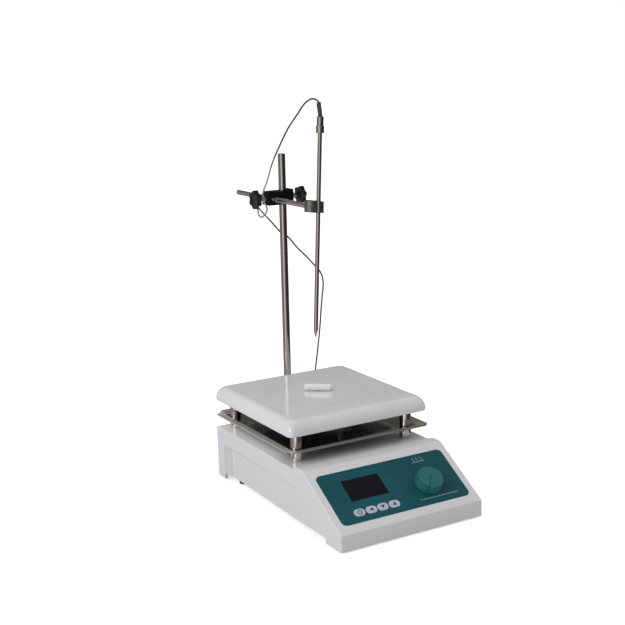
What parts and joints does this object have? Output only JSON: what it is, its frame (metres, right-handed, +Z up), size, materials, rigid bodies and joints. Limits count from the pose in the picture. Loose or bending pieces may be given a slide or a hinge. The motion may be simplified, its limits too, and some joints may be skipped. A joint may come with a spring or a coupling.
{
  "type": "magnetic stirrer",
  "caption": "Heated magnetic stirrer: square glazed hot plate on standoffs over a sloped control case, with a stand rod, boss head, cross arm and clipped temperature probe.",
  "frame": {"origin": "centre of the case's rectangular footprint, on the plane the rubber feet rest on", "axes": "+Z up, +Y from the control panel to the back, +X to the right along the control panel"},
  "size_m": [0.1826, 0.3694, 0.4461],
  "materials": {
    "case_paint": "satin light grey powder coat",
    "plate_enamel": "gloss white ceramic glaze",
    "panel_film": "teal printed film, satin",
    "window_lens": "dark smoked lens, gloss",
    "key_plastic": "pale grey keys, satin",
    "knob_plastic": "teal moulded plastic, satin",
    "stainless": "stainless, drawn",
    "tray_steel": "rolled stainless sheet, polished",
    "chrome_post": "bright plated",
    "zinc_steel": "zinc plated",
    "black_casting": "black painted casting",
    "black_plastic": "black moulded plastic",
    "rubber": "black rubber",
    "spring_clip": "satin spring steel",
    "cable_jacket": "grey cable jacket",
    "ptfe": "white PTFE",
    "magnet": "nickel plated magnet",
    "pcb": "green circuit board",
    "motor_can": "plated motor can",
    "laminations": "iron laminations",
    "fan_plastic": "black fan moulding",
    "ceramic_fibre": "ceramic fibre board",
    "mica": "mica and resistance ribbon",
    "galvanised": "zinc coated sheet",
    "aluminium": "milled aluminium",
    "transformer_core": "varnished windings and core",
    "lead_sleeve": "glass fibre sleeving",
    "switch_green": "black rocker"
  },
  "bodies": {
    "base": {"housing_shell": "case_paint", "bottom_cover": "galvanised", "pan_head_screws": "zinc_steel", "rubber_feet": "rubber", "panel_overlay": "panel_film", "display_window": "window_lens", "display_module": "black_plastic", "control_board": "pcb", "board_spacers": "zinc_steel", "tact_switches": "black_plastic", "speed_potentiometer": "zinc_steel", "hot_plate": "plate_enamel", "heating_element": "mica", "insulation_pad": "ceramic_fibre", "heater_backplate": "galvanised", "plate_sensor": "stainless", "spill_tray": "tray_steel", "plate_standoffs": "chrome_post", "standoff_studs": "zinc_steel", "standoff_nuts": "zinc_steel", "motor_bracket": "galvanised", "motor_housing": "motor_can", "motor_stator": "laminations", "motor_bearings": "stainless", "power_board": "pcb", "transformer": "transformer_core", "power_inlet": "black_plastic", "switch_frame": "black_plastic", "probe_socket": "zinc_steel", "probe_plug": "black_plastic", "rod_bracket": "black_casting", "rod_bracket_screws": "zinc_steel", "heater_leads": "lead_sleeve"},
    "knob": {"speed_knob": "knob_plastic", "potentiometer_shaft": "aluminium"},
    "key_power": {"button_power": "key_plastic"},
    "key_select": {"button_select": "key_plastic"},
    "key_down": {"button_down": "key_plastic"},
    "key_up": {"button_up": "key_plastic"},
    "drive": {"motor_rotor_shaft": "laminations", "cooling_fan": "fan_plastic", "magnet_yoke": "aluminium", "drive_magnets": "magnet"},
    "stirrer": {"stir_bar": "ptfe", "stir_bar_magnet": "magnet"},
    "rocker": {"power_rocker": "switch_green"},
    "lock_knob": {"rod_lock_knob": "black_plastic"},
    "rod": {"support_rod": "stainless"},
    "boss": {"boss_head": "black_casting", "probe_cable_lower": "cable_jacket"},
    "rod_knob": {"rod_clamp_screw": "chrome_post", "rod_clamp_knob": "black_plastic"},
    "arm_knob": {"arm_clamp_screw": "chrome_post", "arm_clamp_knob": "black_plastic"},
    "arm": {"support_arm": "stainless"},
    "clip": {"probe_clip": "spring_clip"},
    "probe": {"probe_tube": "stainless", "probe_collar": "stainless", "probe_neck": "cable_jacket", "probe_cable_upper": "cable_jacket"}
  },
  "joints": [
    {"name": "speed_knob_turn", "type": "hinge", "parent": "base", "child": "knob", "pos_m": [0.0405, -0.11072, 0.0445], "axis": [0, 0.527, -0.8499], "range_deg": [0, 290]},
    {"name": "press_power", "type": "slide", "parent": "base", "child": "key_power", "axis": [0, 0.527, -0.8499], "range_m": [0, 0.0008]},
    {"name": "press_select", "type": "slide", "parent": "base", "child": "key_select", "axis": [0, 0.527, -0.8499], "range_m": [0, 0.0008]},
    {"name": "press_down", "type": "slide", "parent": "base", "child": "key_down", "axis": [0, 0.527, -0.8499], "range_m": [0, 0.0008]},
    {"name": "press_up", "type": "slide", "parent": "base", "child": "key_up", "axis": [0, 0.527, -0.8499], "range_m": [0, 0.0008]},
    {"name": "drive_spin", "type": "hinge", "parent": "base", "child": "drive", "pos_m": [0, 0.051, 0.05], "axis": [0, 0, 1], "continuous": true},
    {"name": "stir_bar_spin", "type": "hinge", "parent": "base", "child": "stirrer", "pos_m": [0, 0.051, 0.116], "axis": [0, 0, 1], "continuous": true},
    {"name": "power_switch", "type": "hinge", "parent": "base", "child": "rocker", "pos_m": [-0.0195, 0.137, 0.032], "axis": [1, 0, 0], "range_deg": [0, 14]},
    {"name": "rod_lock_turn", "type": "hinge", "parent": "base", "child": "lock_knob", "pos_m": [0.015, 0.165, 0.041], "axis": [0, 1, 0], "range_deg": [-360, 360]},
    {"name": "rod_swivel", "type": "hinge", "parent": "base", "child": "rod", "pos_m": [0.015, 0.15, 0.2], "axis": [0, 0, 1], "range_deg": [-90, 90], "deforming": ["probe_cable_lower"]},
    {"name": "boss_height", "type": "slide", "parent": "rod", "child": "boss", "axis": [0, 0, 1], "range_m": [-0.055, 0.04]},
    {"name": "rod_clamp_turn", "type": "hinge", "parent": "boss", "child": "rod_knob", "pos_m": [0.035, 0.15, 0.3271], "axis": [1, 0, 0], "range_deg": [-360, 360]},
    {"name": "arm_clamp_turn", "type": "hinge", "parent": "boss", "child": "arm_knob", "pos_m": [-0.02, 0.1485, 0.3262], "axis": [1, 0, 0], "range_deg": [-360, 360]},
    {"name": "arm_reach", "type": "slide", "parent": "boss", "child": "arm", "axis": [0, -1, 0], "range_m": [-0.05, 0.06]},
    {"name": "clip_tilt", "type": "hinge", "parent": "arm", "child": "clip", "pos_m": [-0.003, 0.06, 0.3262], "axis": [0, 1, 0], "range_deg": [-30, 30]},
    {"name": "probe_depth", "type": "slide", "parent": "clip", "child": "probe", "axis": [-0.0488, 0, -0.9988], "range_m": [-0.06, 0.055], "deforming": ["probe_cable_upper"]}
  ],
  "couplings": [
    {"joint": "stir_bar_spin", "follows": "drive_spin", "ratio": 1}
  ]
}
